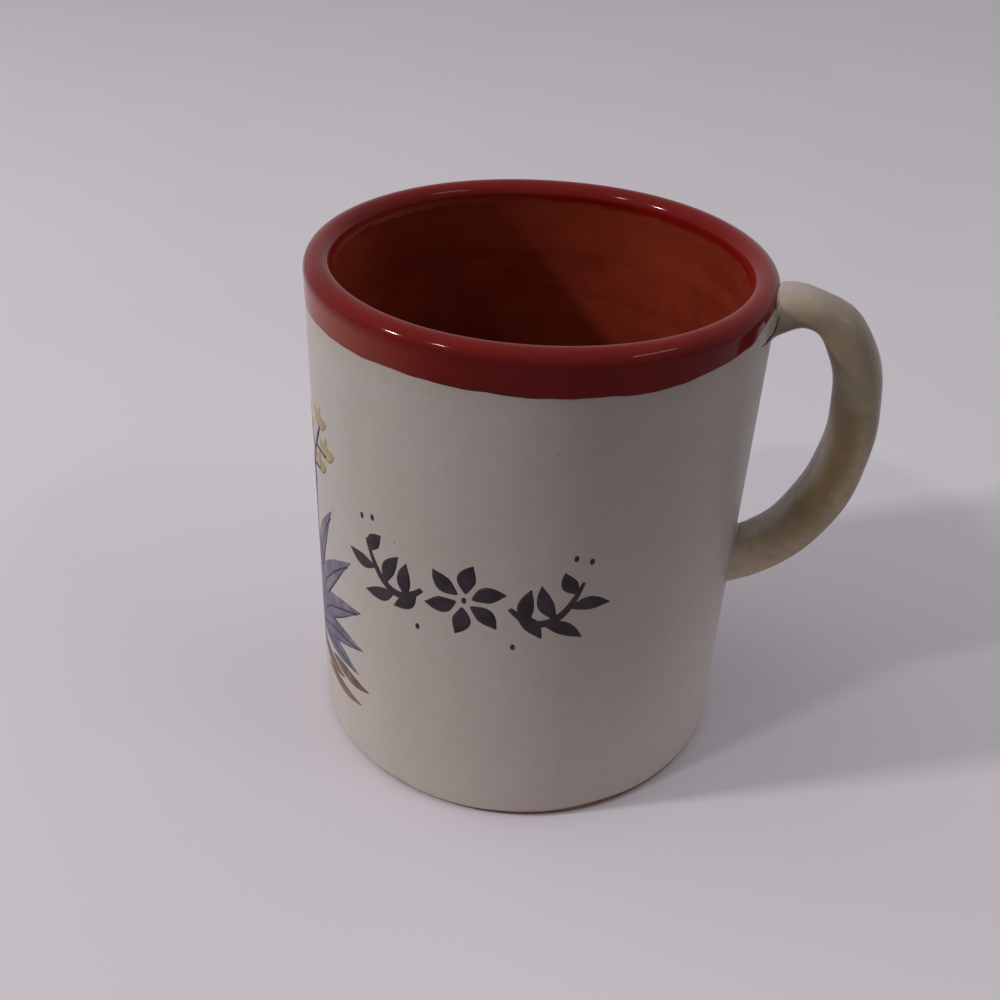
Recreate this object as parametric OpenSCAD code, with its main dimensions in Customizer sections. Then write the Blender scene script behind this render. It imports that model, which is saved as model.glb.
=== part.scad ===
// Glazed clay mug with a pulled loop handle, standing on its foot ring.
// Sizes are in millimetres. The mug's axis is Z, the foot rests on z = 0
// and the handle reaches out along +X.

/* [Cup] */
// Diameter of the cup over its cream coat
cup_d = 80; // [64:1:110]
// Height of the cup from the table to the top of the lip
cup_h = 95; // [80:1:130]
// Thickness of the wall and the lip over both coats
wall_t = 4.9; // [3.6:0.1:8]
// Thickness of the floor over its lining
floor_t = 7; // [5:0.5:12]
// Radius of the inside corner between the wall and the floor
floor_corner_r = 8; // [2:0.5:15]
// Radius of the rounded outside edge of the foot
foot_edge_r = 1; // [0.4:0.1:2.5]
// Width of the flat ring that the mug stands on
foot_ring_w = 5; // [3:0.5:10]
// Depth of the hollow turned under the base
foot_hollow_h = 1.5; // [0.5:0.1:3]
// Radius of the soft edge round that hollow
foot_hollow_r = 1; // [0.2:0.1:3]

/* [Coats] */
// Thickness of the red glaze on the lip and the band
red_t = 0.4; // [0.2:0.05:0.8]
// Thickness of the clear glaze that lines the inside
lining_t = 0.3; // [0.15:0.05:0.8]
// Thickness of the cream glaze on the outside and the handle
cream_t = 0.35; // [0.2:0.05:0.8]
// Height of the red band, measured down from the top of the lip
band_h = 7.2; // [5:0.1:20]
// How far the red glaze runs down inside, below the rounded lip
lip_turn_h = 1.3; // [0.4:0.1:20]
// How far the cream glaze reaches round the upper joint, where the red band stops short
joint_wash = 2.5; // [0.5:0.1:6]
// Height of bare clay above the rounded foot edge
bare_foot_h = 0.4; // [0.2:0.1:4]

/* [Handle] */
// Width of the strap over its coat
strap_w = 9; // [6:0.1:16]
// How far the strap widens on each side where it meets the wall
strap_flare = 1.5; // [0.2:0.1:4]
// Squareness of the strap's section, from 2 for an oval upwards
strap_power = 2.4; // [2:0.1:4]
// Height of the strap's upper end where it meets the wall
upper_end_t = 8.6; // [6:0.1:14]
// Thickness of the strap at its narrow neck beside the upper end
neck_t = 5; // [3.5:0.1:10]
// Thickness of the strap round its upper bend
bend_t = 7.5; // [4:0.1:12]
// Thickness of the strap at the back of the loop
back_t = 9; // [4:0.1:12]
// Thickness of the strap above its lower end
tail_t = 9.3; // [4:0.1:12]
// Height of the strap's lower end where it meets the wall
lower_end_t = 9.6; // [6:0.1:14]
// Drop from the top of the lip to the top of the strap's upper end
head_drop = 0.5; // [0.4:0.1:20]
// Distance from the middle of the upper end down to the middle of the lower end
loop_span = 49; // [40:0.5:62]
// Angle at which the strap rises out of the upper joint
upper_angle = 28; // [0:1:40]
// Length of the pull that carries the strap outwards from the upper joint
upper_pull = 20.5; // [15:0.5:35]
// Angle at which the strap rises out of the lower joint
lower_angle = 27.5; // [10:0.5:45]
// Length of the pull that carries the strap outwards from the lower joint
lower_pull = 27.6; // [20:0.2:45]
// Thickness of the slip that lutes each end to the wall
slip_t = 0.6; // [0.4:0.1:1.5]

/* [Hidden] */

// Finish of turned surfaces
$fn = 96;
// How far a cut runs past the face that it cuts
overrun = 1;

// The clay of the cup, under its coats
clay_r = cup_d / 2 - cream_t;
bore_r = cup_d / 2 - wall_t + red_t;
clay_floor_z = floor_t - lining_t;
lip_r = (clay_r - bore_r) / 2;
lip_mid_r = (clay_r + bore_r) / 2;
lip_z = cup_h - red_t - lip_r;
hollow_mouth_r = clay_r - foot_edge_r - foot_ring_w;
hollow_edge_r = min(foot_hollow_r, foot_hollow_h);

// Where the coats start and end
band_z = cup_h - band_h;
turn_z = lip_z - lip_turn_h;
bare_z = foot_edge_r + bare_foot_h;

// The strap's centre line, as one curve in the XZ plane from the upper joint to the lower one
upper_z = cup_h - head_drop - upper_end_t / 2;
lower_z = upper_z - loop_span;
upper_point = [clay_r, upper_z];
lower_point = [clay_r, lower_z];
upper_arm = upper_point + upper_pull * [cos(upper_angle), sin(upper_angle)];
lower_arm = lower_point + lower_pull * [cos(lower_angle), sin(lower_angle)];

// Shares of the run at which the strap has each thickness
neck_share = 0.15;
bend_share = 0.35;
back_share = 0.6;
tail_share = 0.8;
// Share of the run over which the thickness is smoothed
blend_share = 0.04;
// Share of the run over which the section leans from the wall's plane to square across the strap
lean_share = 0.2;
// Share of the run over which the flare dies out
flare_share = 0.12;
// Share of the run that holds either joint
joint_share = 0.1;
strap_table = [
    [0, upper_end_t],
    [neck_share, neck_t],
    [bend_share, bend_t],
    [back_share, back_t],
    [tail_share, tail_t],
    [1, lower_end_t]
];

// How far the strap's ends run into the wall before they are coped to it
root_depth = lip_r;
// Stations along the strap, and points round its section
stations = 40;
sides = 28;
joint_stations = round(joint_share * stations);

function mix3(t, a, b, c) = pow(1 - t, 2) * a + 2 * (1 - t) * t * b + t * t * c;

function centre(t) =
    (1 - t) * mix3(t, upper_point, upper_arm, lower_arm)
    + t * mix3(t, upper_arm, lower_arm, lower_point);

function heading(t) =
    let (d = mix3(t, upper_arm - upper_point, lower_arm - upper_arm, lower_point - lower_arm))
    atan2(d[1], d[0]);

function fade(t, run) = pow(max(0, 1 - t / run), 2);

// Direction of the strap's outer face, which is upright at the wall
function outward(t) =
    heading(t) + 90
    - upper_angle * fade(t, lean_share)
    - lower_angle * fade(1 - t, lean_share);

function strap_t(t) =
    (lookup(t - blend_share, strap_table) + lookup(t, strap_table)
    + lookup(t + blend_share, strap_table)) / 3;

function strap_width(t) =
    strap_w + 2 * strap_flare * (fade(t, flare_share) + fade(1 - t, flare_share));

function squared(v) = sign(v) * pow(abs(v), 2 / strap_power);

// One ring of points round the strap, a skin proud of its coated surface.
// The rings before the first station and after the last run straight into the wall.
function ring(i, skin) =
    let (
        t = min(max(i, 0), stations) / stations,
        sunk = i < 0 || i > stations ? root_depth : 0,
        c = centre(t),
        a = outward(t),
        half_t = strap_t(t) / 2 + skin,
        half_w = strap_width(t) / 2 + skin
    )
    [for (k = [0 : sides - 1])
        let (up = half_t * squared(sin(360 * k / sides)), across = half_w * squared(cos(360 * k / sides)))
        [c[0] - sunk + up * cos(a), across, c[1] + up * sin(a)]];

function rings(first, last, skin) = [for (i = [first : last]) each ring(i, skin)];

// Faces of the side wall over a stack of rings whose points start at a given index
function wall_faces(count, start, inside) = [
    for (i = [0 : count - 2], k = [0 : sides - 1])
        let (
            a = start + i * sides + k,
            b = start + i * sides + (k + 1) % sides,
            near = inside ? a : b,
            far = inside ? b : a
        )
        each [[near, far, near + sides], [far, far + sides, near + sides]]
];

// Flat face that closes a stack of rings at one end
function cap_face(start, turned) = [[for (k = [0 : sides - 1]) start + (turned ? k : sides - 1 - k)]];

// Flat rim between an outer ring and the ring inside it
function rim_faces(outer, inner, turned) = [
    for (k = [0 : sides - 1])
        let (
            m = (k + 1) % sides,
            a = turned ? m : k,
            b = turned ? k : m
        )
        each [[outer + a, outer + b, inner + a], [outer + b, inner + b, inner + a]]
];

// A length of the strap as one solid
module strap(first, last, skin) {
    count = last - first + 1;
    polyhedron(
        rings(first, last, skin),
        concat(
            wall_faces(count, 0, false),
            cap_face(0, true),
            cap_face((count - 1) * sides, false)
        )
    );
}

// The coat over the whole strap, as a tube open at both ends
module strap_coat() {
    count = stations + 3;
    inner = count * sides;
    last = (count - 1) * sides;
    polyhedron(
        concat(rings(-1, stations + 1, 0), rings(-1, stations + 1, -cream_t)),
        concat(
            wall_faces(count, 0, false),
            wall_faces(count, inner, true),
            rim_faces(0, inner, false),
            rim_faces(last, inner + last, true)
        )
    );
}

module upper_root(skin) {
    strap(-1, joint_stations, skin);
}

module lower_root(skin) {
    strap(stations - joint_stations, stations + 1, skin);
}

// The part of the upright wall round the upper joint that is washed with cream glaze
module washed_zone() {
    intersection() {
        upper_root(joint_wash);
        cylinder(h = lip_z, r = cup_d / 2 + overrun);
    }
}

// Half section of the drink cavity up to a height, narrowed all round by a coat
module cavity_section(top_z, skin) {
    r = bore_r - skin;
    z = clay_floor_z + skin;
    corner = floor_corner_r - skin;
    translate([0, z]) square([r - corner, top_z - z]);
    translate([0, z + corner]) square([r, top_z - z - corner]);
    translate([r - corner, z + corner]) circle(corner);
}

// Half section of the rounded lip above the straight wall
module lip_section(skin) {
    intersection() {
        translate([lip_mid_r, lip_z]) circle(lip_r + skin);
        translate([0, lip_z]) square([clay_r + overrun, lip_r + overrun]);
    }
}

// Half section of the foot's rounded edge and the hollow under the base, as they are cut away
module foot_section() {
    difference() {
        translate([clay_r - foot_edge_r, -overrun]) square([foot_edge_r + overrun, foot_edge_r + overrun]);
        translate([clay_r - foot_edge_r, foot_edge_r]) circle(foot_edge_r);
    }
    translate([0, -overrun]) square([hollow_mouth_r - hollow_edge_r, foot_hollow_h + overrun]);
    translate([0, -overrun]) square([hollow_mouth_r, foot_hollow_h - hollow_edge_r + overrun]);
    translate([hollow_mouth_r - hollow_edge_r, foot_hollow_h - hollow_edge_r]) circle(hollow_edge_r);
}

// The cup's outside form with no cavity, which everything on it is coped to
module cup_form() {
    rotate_extrude() {
        square([clay_r, lip_z]);
        lip_section(0);
    }
}

module clay_cup() {
    color("#a5553c") rotate_extrude() {
        difference() {
            square([clay_r, lip_z]);
            cavity_section(lip_z, 0);
            foot_section();
        }
        lip_section(0);
    }
}

module lining_glaze() {
    color("#8a4428") rotate_extrude() difference() {
        cavity_section(turn_z, 0);
        cavity_section(turn_z, lining_t);
    }
}

// Band outside, roll over the lip and short turn inside, in one coat
module red_glaze() {
    color("#7c2417") difference() {
        rotate_extrude() {
            translate([bore_r - red_t, turn_z]) square([red_t, lip_z - turn_z]);
            difference() {
                lip_section(red_t);
                lip_section(0);
            }
            translate([clay_r, band_z]) square([red_t, lip_z - band_z]);
        }
        upper_root(0);
        washed_zone();
    }
}

module cream_glaze() {
    color("#c8c1b4") difference() {
        union() {
            rotate_extrude() translate([clay_r, bare_z]) square([cream_t, band_z - bare_z]);
            intersection() {
                rotate_extrude() translate([clay_r, band_z]) square([cream_t, lip_z - band_z]);
                washed_zone();
            }
        }
        upper_root(0);
        lower_root(0);
    }
}

module clay_handle() {
    color("#a5553c") difference() {
        strap(-1, stations + 1, -cream_t);
        cylinder(h = cup_h + overrun, r = clay_r + slip_t);
    }
}

// Slip fills the space between the wall or lip and the coped end of the strap
module joint_slip() {
    difference() {
        intersection() {
            children();
            cylinder(h = cup_h + overrun, r = clay_r + slip_t);
        }
        cup_form();
    }
}

module upper_joint_slip() {
    color("#b8795f") joint_slip() upper_root(-cream_t);
}

module lower_joint_slip() {
    color("#b8795f") joint_slip() lower_root(-cream_t);
}

module handle_glaze() {
    color("#b7ae93") difference() {
        strap_coat();
        cup_form();
    }
}

clay_cup();
lining_glaze();
red_glaze();
cream_glaze();
clay_handle();
upper_joint_slip();
lower_joint_slip();
handle_glaze();
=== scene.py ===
"""Looks of a glazed clay mug with a loop handle: coats, foot, joints, painted sprays, floor and light."""

import math

import bpy
from mathutils import Matrix, Vector


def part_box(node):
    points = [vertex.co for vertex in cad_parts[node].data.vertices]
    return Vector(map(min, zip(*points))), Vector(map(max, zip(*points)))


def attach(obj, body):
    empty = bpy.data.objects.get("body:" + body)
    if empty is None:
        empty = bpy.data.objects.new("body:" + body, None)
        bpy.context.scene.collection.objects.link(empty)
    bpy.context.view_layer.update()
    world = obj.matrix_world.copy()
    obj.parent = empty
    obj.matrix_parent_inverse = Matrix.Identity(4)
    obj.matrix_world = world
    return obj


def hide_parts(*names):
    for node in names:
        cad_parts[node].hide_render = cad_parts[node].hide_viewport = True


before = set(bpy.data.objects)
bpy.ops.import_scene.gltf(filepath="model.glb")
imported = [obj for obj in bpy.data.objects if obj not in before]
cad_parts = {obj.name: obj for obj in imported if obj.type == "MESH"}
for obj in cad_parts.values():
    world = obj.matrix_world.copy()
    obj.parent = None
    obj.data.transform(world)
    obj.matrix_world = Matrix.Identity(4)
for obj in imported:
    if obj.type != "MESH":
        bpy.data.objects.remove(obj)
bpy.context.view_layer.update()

MM = 0.001
MERGE = 0.002 * MM

# Sizes of the cup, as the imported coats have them
COAT_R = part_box("cream_glaze")[1].x
BAND_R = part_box("red_glaze")[1].y
CLAY_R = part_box("clay_cup")[1].x
LIP_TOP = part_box("red_glaze")[1].z
BAND_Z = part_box("red_glaze")[0].z
BARE_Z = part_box("cream_glaze")[0].z
TURN_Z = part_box("lining_glaze")[1].z
FLOOR_UNDER_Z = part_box("lining_glaze")[0].z
BORE_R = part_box("lining_glaze")[1].x
RED_T = BAND_R - CLAY_R
LINING_T = 0.3 * MM
LIP_R = (CLAY_R - BORE_R) / 2
LIP_MID_R = (CLAY_R + BORE_R) / 2
LIP_Z = LIP_TOP - RED_T - LIP_R
FLOOR_CORNER_R = 8 * MM
FOOT_EDGE_R = 1 * MM
FOOT_RING_W = 5 * MM
FOOT_CHAMFER = 0.2 * MM
FOOT_HOLLOW_H = 1.5 * MM
HOLLOW_EDGE_R = 1 * MM

# Marks of the turning tool under the foot: depth, radians of their wave per millimetre, and points
TURNING_DEPTH = 0.07 * MM
TURNING_PER_MM = 2.6
TURNING_STEPS = 44

# How the coats lie: sunk into the clay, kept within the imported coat, lapped over each other and rolled in
SUNK = 0.05 * MM
SKIMMED = 0.02 * MM
CREASE = 0.01 * MM
CREAM_LAP = 0.2 * MM
CREAM_ROLL = 0.17 * MM
RED_ROLL = 0.18 * MM
RED_LAP = 0.2 * MM
RED_PROUD = 0.005 * MM
RED_CORE = 0.3 * MM
LINING_LAP = 0.8 * MM

# Steps round the coats, over each half of the red lip and across the lining's floor
COAT_TURNS = 192
RED_TURNS = 432
LIP_STEPS = 20
FLOOR_STEPS = 14

# Uneven edges round the mug, as waves of a height in millimetres, a count of turns and a start in radians
FOOT_WAVES = ((0.3, 2, 2.4), (0.14, 5, 0), (0.1, 13, 1))
FOOT_WAVE_LOW = -0.3
FOOT_FADE = 4 * MM
BAND_WAVES = ((0.1, 3, 0.6), (0.08, 7, 2), (0.06, 16, 0.4), (0.05, 29, 1), (0.03, 53, 0))
BAND_LIFT = 0.12
BAND_STOP = 0.1 * MM
LIP_WAVES = ((0.05, 2, 0.7), (0.03, 5, 2))
LIP_SETTLE = 0.085
LIP_FADE = 1 * MM

# Climbs of the band's edge towards the handle: millimetres, and where they start and end in degrees
BAND_CLIMBS = ((1.9, 52, 22), (1.75, 21, 14), (0.8, 15.5, 8))

# The strap of the handle, along one curve from the upper joint to the lower one
STRAP_W = 9 * MM
STRAP_FLARE = 1.5 * MM
STRAP_POWER = 2.4
STRAP_T = ((0, 8.6), (0.15, 5), (0.35, 7.5), (0.6, 9), (0.8, 9.3), (1, 9.6))
BLEND_SHARE = 0.04
LEAN_SHARE = 0.2
FLARE_SHARE = 0.12
UPPER_ANGLE = math.radians(28)
LOWER_ANGLE = math.radians(27.5)
UPPER_REACH = 20.5 * MM
LOWER_REACH = 27.6 * MM
UPPER_POINT = Vector((CLAY_R, 90.2 * MM))
LOWER_POINT = Vector((CLAY_R, 41.2 * MM))
UPPER_ARM = UPPER_POINT + UPPER_REACH * Vector((math.cos(UPPER_ANGLE), math.sin(UPPER_ANGLE)))
LOWER_ARM = LOWER_POINT + LOWER_REACH * Vector((math.cos(LOWER_ANGLE), math.sin(LOWER_ANGLE)))
STRAP_SIDES = 72
STRAP_STATIONS = 110
STRAP_TURNS = [2 * math.pi * side / STRAP_SIDES for side in range(STRAP_SIDES)]

# Glaze of the strap, in millimetres and shares: lumps set back, calm near the joints, a fuller shoulder
LUMP_SETBACK = 0.06
CALM_SHARE = 0.1
SHOULDER_RISE = 0.5
SHOULDER_START_SHARES = (0.06, 0.24)
SHOULDER_END_SHARES = (0.5, 0.34)

# Joints of the strap: fillets at the upper and lower one, and a groove along the strap's top under the lip
JOINT_FILLETS = (1.1 * MM, 0.5 * MM)
FILLET_STEPS = 8
JOINT_SINK = 0.03 * MM
JOINT_DEPTH = 0.9 * MM
LIP_TUCK = 1.1 * MM
TUCK_RUN = 0.55 * MM
TUCK_SINES = (0.2, 0.85)

# How a place near a joint is found: the strap's run into the wall, the shares to look between, and halvings
RUN_IN = 60 * MM
END_SHARES = ((-0.06, 0.2), (1.06, 0.8))
HALVINGS = 28

# Hairline at the upper joint: degrees round the strap and reach, then round the wall and height, half widths
HAIRLINE_CORNER = ((162, 0.92), (172, 0.9), (184, 0.84), (196, 0.68), (207, 0.45))
HAIRLINE_WALL = ((-10, 87.4), (-11.9, 87.5), (-14.2, 88))
HAIRLINE_HALVES = (0.03, 0.08, 0.11, 0.13, 0.13, 0.12, 0.09, 0.03)

# Camera of the photograph: where it stands, how far it looks down and round, and its tilt
EYE = Vector((41.93, -176.58, 163.78)) * MM
LOOK_ROUND = math.radians(15)
LOOK_DOWN = 0.584
TILT = -0.0451
SENSOR = 36
FOCAL_SHARE = 1.1216
NEAR_CLIP = 10 * MM


def place_camera():
    """The camera of the photograph, level but for its small tilt."""
    right = Vector((math.cos(LOOK_ROUND), math.sin(LOOK_ROUND), 0))
    ahead = Vector((
        -math.sin(LOOK_ROUND) * math.cos(LOOK_DOWN),
        math.cos(LOOK_ROUND) * math.cos(LOOK_DOWN),
        -math.sin(LOOK_DOWN),
    ))
    down = ahead.cross(right)
    x = math.cos(TILT) * right + math.sin(TILT) * down
    y = math.sin(TILT) * right - math.cos(TILT) * down
    bpy.ops.object.select_all(action="DESELECT")
    bpy.ops.object.camera_add(location=EYE)
    camera = bpy.context.object
    camera.name = "photo_camera"
    turn = Matrix((x, y, -ahead)).transposed()
    camera.rotation_euler = turn.to_euler()
    camera.data.sensor_width = SENSOR
    camera.data.lens = SENSOR * FOCAL_SHARE
    camera.data.clip_start = NEAR_CLIP
    bpy.context.scene.camera = camera


place_camera()


class Tone:
    """A socket of a node tree, with the sums that the glazes use."""

    def __init__(self, tree, socket=None):
        self.tree = tree
        self.socket = socket

    def node(self, kind, inputs=None, out=0, **settings):
        """Adds a node with its settings, then its sockets' values or links, and gives one output."""
        made = self.tree.nodes.new(kind)
        for key, value in settings.items():
            setattr(made, key, value)
        for key, value in (inputs or {}).items():
            if isinstance(value, Tone):
                self.tree.links.new(value.socket, made.inputs[key])
            else:
                made.inputs[key].default_value = value
        return Tone(self.tree, made.outputs[out])

    def math(self, operation, *values):
        return self.node("ShaderNodeMath", dict(enumerate(values)), operation=operation)

    def __add__(self, other):
        return self.math("ADD", self, other)

    def __radd__(self, other):
        return self.math("ADD", other, self)

    def __sub__(self, other):
        return self.math("SUBTRACT", self, other)

    def __rsub__(self, other):
        return self.math("SUBTRACT", other, self)

    def __mul__(self, other):
        return self.math("MULTIPLY", self, other)

    def __rmul__(self, other):
        return self.math("MULTIPLY", other, self)

    def clear(self, low, high):
        """0 below low, 1 above high and smooth between, or the other way round if low is above high."""
        flip = low > high
        bottom, top = (high, low) if flip else (low, high)
        ends = {"From Min": bottom, "From Max": top, "To Min": float(flip), "To Max": float(not flip)}
        return self.node("ShaderNodeMapRange", {"Value": self, **ends}, interpolation_type="SMOOTHSTEP")

    def mix(self, first, second):
        """The first colour where this is 0 and the second where it is 1."""
        return self.node("ShaderNodeMix", {0: self, 6: first, 7: second}, out=2, data_type="RGBA")

    def shown(self):
        """1 for rays that show a surface, straight or mirrored, and 0 for those that light others."""
        path = self.node("ShaderNodeLightPath").socket.node
        kinds = ("Is Camera Ray", "Is Glossy Ray", "Is Transmission Ray")
        camera, glossy, through = (Tone(self.tree, path.outputs[kind]) for kind in kinds)
        return self.math("MAXIMUM", self.math("MAXIMUM", camera, glossy), through)


def srgb(red, green, blue):
    """A colour written as on a screen, from 0 to 255, as light."""
    def light(c):
        c /= 255
        return c / 12.92 if c <= 0.04045 else ((c + 0.055) / 1.055) ** 2.4
    return (light(red), light(green), light(blue), 1)


# How much of a dot is solid, and how sharply the cells that hold one are picked
DOT_CORE_SHARE = 0.45
DOT_PICK_SHARE = 0.9


class Finish:
    """A material under way: its object coordinates, its noises and its shader."""

    def __init__(self, name, sockets):
        self.material = bpy.data.materials.new(name)
        self.material.use_nodes = True
        tree = self.material.node_tree
        tree.nodes.clear()
        self.tone = Tone(tree)
        self.place = self.tone.node("ShaderNodeTexCoord", out=3)
        self.axes = self.tone.node("ShaderNodeSeparateXYZ", {0: self.place}).socket.node
        self.shader = self.tone.node("ShaderNodeBsdfPrincipled", sockets).socket.node
        output = tree.nodes.new("ShaderNodeOutputMaterial")
        tree.links.new(self.shader.outputs[0], output.inputs["Surface"])

    def axis(self, index):
        return Tone(self.material.node_tree, self.axes.outputs[index])

    def vector(self, operation, first, second):
        return self.tone.node("ShaderNodeVectorMath", {0: first, 1: second}, operation=operation)

    def stretched(self, x, y, z):
        return self.vector("MULTIPLY", self.place, (x, y, z))

    def length(self, vector):
        return self.tone.node("ShaderNodeVectorMath", {0: vector}, out=1, operation="LENGTH")

    def off_axis(self):
        """The distance from the mug's axis."""
        return self.length(self.stretched(1, 1, 0))

    def noise(self, per_metre, detail=2.0, rough=0.5, at=None):
        sockets = {"Vector": at or self.place, "Scale": per_metre, "Detail": detail, "Roughness": rough}
        return self.tone.node("ShaderNodeTexNoise", sockets)

    def dots(self, per_metre, size, share):
        """Round dots, as a mask: radius as a share of their spacing, and the share of cells with one."""
        distance = self.tone.node("ShaderNodeTexVoronoi", {"Vector": self.place, "Scale": per_metre})
        colour = Tone(self.material.node_tree, distance.socket.node.outputs["Color"])
        pick = self.tone.node("ShaderNodeSeparateColor", {0: colour})
        return distance.clear(size, size * DOT_CORE_SHARE) * pick.clear(share, share * DOT_PICK_SHARE)

    def bump(self, height, depth, over=None):
        sockets = {"Height": height, "Distance": depth, "Strength": 1.0}
        if over:
            sockets["Normal"] = over
        return self.tone.node("ShaderNodeBump", sockets)

    def feed(self, **links):
        for key, value in links.items():
            socket = self.shader.inputs[key.replace("_", " ")]
            self.material.node_tree.links.new(value.socket, socket)
        return self.material


def glazed(name, specular, coat, coat_rough, ior=1.5, coat_ior=1.5):
    """A finish with the gloss of a glaze: that of its body and that of the clear coat on it."""
    return Finish(name, {
        "IOR": ior,
        "Specular IOR Level": specular,
        "Coat Weight": coat,
        "Coat Roughness": coat_rough,
        "Coat IOR": coat_ior,
    })


# Cream glaze: its colours, and the heights where it flushes under the band and thins at the foot
CREAM_GREY = srgb(177, 169, 165)
CREAM_PALE = srgb(184, 176, 173)
CREAM_GRAIN = srgb(170, 161, 156)
CREAM_FLUSH = srgb(150, 116, 106)
CREAM_THIN = srgb(132, 102, 88)
CREAM_IRON = srgb(96, 76, 64)
CREAM_PINHOLE = srgb(116, 94, 82)
FLUSH_HEIGHTS = (BAND_Z - 2.8 * MM, BAND_Z + 0.7 * MM)
FLUSH_WAVER = 1.6 * MM
THIN_HEIGHTS = (BARE_Z + 2 * MM, BARE_Z)
THIN_WAVER = 2.2 * MM


def cream_finish():
    f = glazed("cream_glaze", specular=0.1, coat=0.06, coat_rough=0.2)
    clouds = f.noise(22, detail=3)
    wipes = f.noise(70, detail=3, at=f.stretched(1, 1, 0.12))
    grain = f.noise(420, detail=3, rough=0.6)
    height = f.axis(2)
    body = (clouds * 0.6 + wipes * 0.4).clear(0.3, 0.7).mix(CREAM_GREY, CREAM_PALE)
    body = (grain.clear(0.35, 0.75) * 0.3).mix(body, CREAM_GRAIN)
    flush = (height + f.noise(160) * FLUSH_WAVER).clear(*FLUSH_HEIGHTS)
    body = (flush * 0.14).mix(body, CREAM_FLUSH)
    browner = (height + f.noise(260, detail=3) * THIN_WAVER).clear(*THIN_HEIGHTS)
    body = (browner * 0.4).mix(body, CREAM_THIN)
    iron = f.dots(230, size=0.075, share=0.12)
    body = (iron * 0.6).mix(body, CREAM_IRON)
    pinholes = f.dots(520, size=0.09, share=0.06)
    body = (pinholes * 0.5).mix(body, CREAM_PINHOLE)
    peel = f.bump(f.noise(760), depth=0.02 * MM)
    peel = f.bump(f.noise(45, detail=1), depth=0.16 * MM, over=peel)
    peel = f.bump(pinholes * -1.0, depth=0.05 * MM, over=peel)
    return f.feed(Base_Color=body, Roughness=grain * 0.16 + 0.3, Normal=peel)


# Red glaze and lining: their colours, heights of the crest's painted sheen and of the pool, where the far
# side is paler from worn glaze and painted sheen, and the turn
RED_DARK = srgb(95, 11, 8)
RED_LIGHT = srgb(115, 18, 12)
RED_CREST_SHEEN = srgb(130, 60, 53)
RED_WORN_AND_SHEEN = srgb(152, 80, 66)
RED_POOL = srgb(88, 10, 8)
RED_SPECK = srgb(64, 10, 8)
LINING_DARK = srgb(104, 33, 19)
LINING_LIGHT = srgb(126, 46, 28)
LINING_SPECK = srgb(70, 18, 11)
CREST_SHEEN_HEIGHTS = (LIP_TOP - 1.8 * MM, LIP_TOP + 0.6 * MM)
CREST_SHEEN_WAVER = 1 * MM
WORN_SHEEN_HEIGHTS = (LIP_TOP - 1.6 * MM, LIP_TOP - 3.8 * MM)
WORN_SHEEN_PLACES = (2 * MM, -30 * MM)
WORN_SHEEN_WAVER = 8 * MM
POOL_HEIGHTS = (BAND_Z + 1.4 * MM, BAND_Z + 0.2 * MM)
POOL_WAVER = 0.8 * MM
TURN_HEIGHTS = (TURN_Z + 0.75 * MM, TURN_Z)
TURN_RADII = (LIP_MID_R - 1.2 * MM, LIP_MID_R - 2.2 * MM)
TURN_WAVER = 1.5 * MM


def red_finish():
    f = glazed("red_glaze", specular=0.0, coat=1.0, coat_rough=0.09, ior=1.52, coat_ior=1.2)
    height = f.axis(2)
    clouds = f.noise(55, detail=3)
    strokes = f.noise(90, detail=3, at=f.stretched(0.35, 0.35, 6))
    body = (clouds * 0.55 + strokes * 0.45).clear(0.32, 0.68).mix(RED_DARK, RED_LIGHT)
    # Painted sheen: a milky pink laid along the lip's crest, where a reflection would show
    crest_sheen = (height + clouds * CREST_SHEEN_WAVER).clear(*CREST_SHEEN_HEIGHTS)
    body = (crest_sheen * 0.16).mix(body, RED_CREST_SHEEN)
    # Paler red on the band's upper part away from the handle: partly glaze worn thin, partly a painted sheen
    worn_and_sheen = (f.axis(0) + strokes * WORN_SHEEN_WAVER).clear(*WORN_SHEEN_PLACES) * height.clear(*WORN_SHEEN_HEIGHTS)
    body = (worn_and_sheen * 0.75).mix(body, RED_WORN_AND_SHEEN)
    pooled = (height + strokes * POOL_WAVER).clear(*POOL_HEIGHTS)
    body = (pooled * 0.4).mix(body, RED_POOL)
    specks = f.dots(300, size=0.07, share=0.08)
    body = (specks * 0.7).mix(body, RED_SPECK)
    ragged = height + (f.noise(170, detail=3) - 0.5) * TURN_WAVER
    thinned = f.off_axis().clear(*TURN_RADII) * ragged.clear(*TURN_HEIGHTS)
    body = thinned.mix(body, clouds.clear(0.34, 0.66).mix(LINING_DARK, LINING_LIGHT))
    peel = f.bump(f.noise(240), depth=0.035 * MM)
    peel = f.bump(f.noise(900), depth=0.006 * MM, over=peel)
    peel = f.bump(f.dots(260, size=0.09, share=0.09), depth=0.06 * MM, over=peel)
    return f.feed(Base_Color=body, Roughness=clouds * 0.12 + 0.26, Normal=peel)


def lining_finish():
    f = glazed("lining_glaze", specular=0.1, coat=0.2, coat_rough=0.1, ior=1.52)
    clouds = f.noise(48, detail=3)
    rings = f.noise(60, at=f.stretched(0.2, 0.2, 5))
    mottle = f.noise(300, detail=3, rough=0.6)
    body = (clouds * 0.5 + rings * 0.3 + mottle * 0.2).clear(0.34, 0.66).mix(LINING_DARK, LINING_LIGHT)
    specks = f.dots(260, size=0.08, share=0.1)
    body = (specks * 0.7).mix(body, LINING_SPECK)
    peel = f.bump(rings, depth=0.14 * MM)
    peel = f.bump(f.noise(420), depth=0.015 * MM, over=peel)
    return f.feed(Base_Color=body, Roughness=mottle * 0.15 + 0.3, Normal=peel)
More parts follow.
